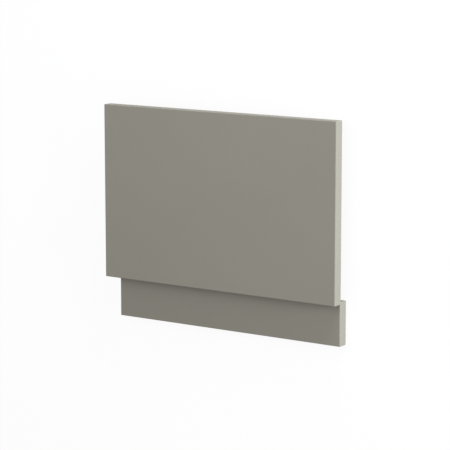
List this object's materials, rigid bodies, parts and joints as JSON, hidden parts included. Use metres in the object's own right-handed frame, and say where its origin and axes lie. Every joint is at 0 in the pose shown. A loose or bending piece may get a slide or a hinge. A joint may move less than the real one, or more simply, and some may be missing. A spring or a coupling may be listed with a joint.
{
  "type": "bath panel",
  "caption": "Flat end panel for a bath, in matt painted board, with a recessed plinth board behind its lower edge held by steel angle brackets.",
  "frame": {"origin": "on the floor, below the middle of the part's box as it lies on its back with the face up", "axes": "+X along the width, to the right as the face is seen with the plinth at the bottom; +Y from the floor edge of the plinth to the rim edge of the panel; +Z out of the face"},
  "size_m": [0.7, 0.555, 0.056],
  "materials": {
    "painted_board": "matt paint on fibreboard, warm stone grey",
    "zinc_steel": "bright zinc plate"
  },
  "bodies": {
    "root": {"panel": "painted_board", "plinth": "painted_board", "plinth_bracket_left": "zinc_steel", "plinth_bracket_right": "zinc_steel"}
  },
  "joints": []
}
